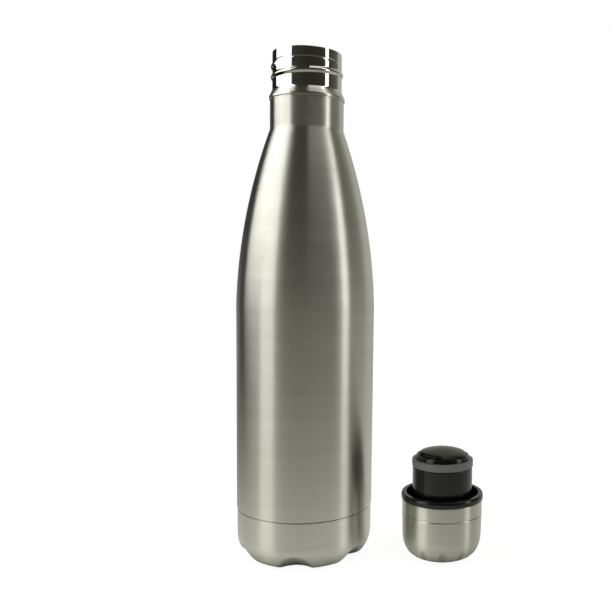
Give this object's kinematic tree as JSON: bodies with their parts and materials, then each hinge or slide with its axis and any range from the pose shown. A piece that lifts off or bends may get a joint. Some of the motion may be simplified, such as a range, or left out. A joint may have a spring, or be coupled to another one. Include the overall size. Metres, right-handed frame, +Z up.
{
  "type": "insulated water bottle",
  "caption": "Double-walled vacuum-insulated steel water bottle with a long neck, standing open with its screw stopper cap upside down beside it.",
  "frame": {"origin": "centre of the ring of feet, on the surface that the bottle stands on", "axes": "+Z up along the bottle's axis, out of the mouth; the cap stands on the +X side, a little towards -Y"},
  "size_m": [0.1261, 0.0716, 0.255],
  "materials": {
    "brushed_steel": "brushed round the bottle",
    "polished_steel": "polished",
    "raw_steel": "as drawn",
    "solder": "dull",
    "getter": "sintered",
    "copper_foil": "bright foil",
    "black_plastic": "gloss, moulded",
    "silicone": "satin",
    "foam": "matt foam"
  },
  "bodies": {
    "bottle": {"outer_shell": "brushed_steel", "inner_liner": "polished_steel", "inner_bottom": "raw_steel", "outer_bottom": "raw_steel", "seal_pellet": "solder", "getter_holder": "raw_steel", "getter_pill": "getter", "reflective_foil": "copper_foil", "base_cup": "brushed_steel"},
    "cap_carrier": {"plug_foam": "foam"},
    "cap_guide": {"stopper_seal": "silicone"},
    "cap": {"cap_shell": "brushed_steel", "cap_insert": "black_plastic", "stopper_tube": "black_plastic", "stopper_end": "black_plastic"}
  },
  "joints": [
    {"name": "cap_flip", "type": "hinge", "parent": "bottle", "child": "cap_carrier", "pos_m": [0.035, -0.00775, 0.15735], "axis": [-0.2162, -0.9764, 0], "range_deg": [0, 180]},
    {"name": "cap_travel", "type": "slide", "parent": "cap_carrier", "child": "cap_guide", "axis": [0, 0, 1], "range_m": [0, 0.0477]},
    {"name": "cap_turn", "type": "hinge", "parent": "cap_guide", "child": "cap", "pos_m": [0.07, -0.0155, 0], "axis": [0, 0, 1], "range_deg": [0, 3240]}
  ],
  "couplings": [
    {"joint": "cap_travel", "follows": "cap_turn", "m_per_rad": 0.00084352}
  ]
}
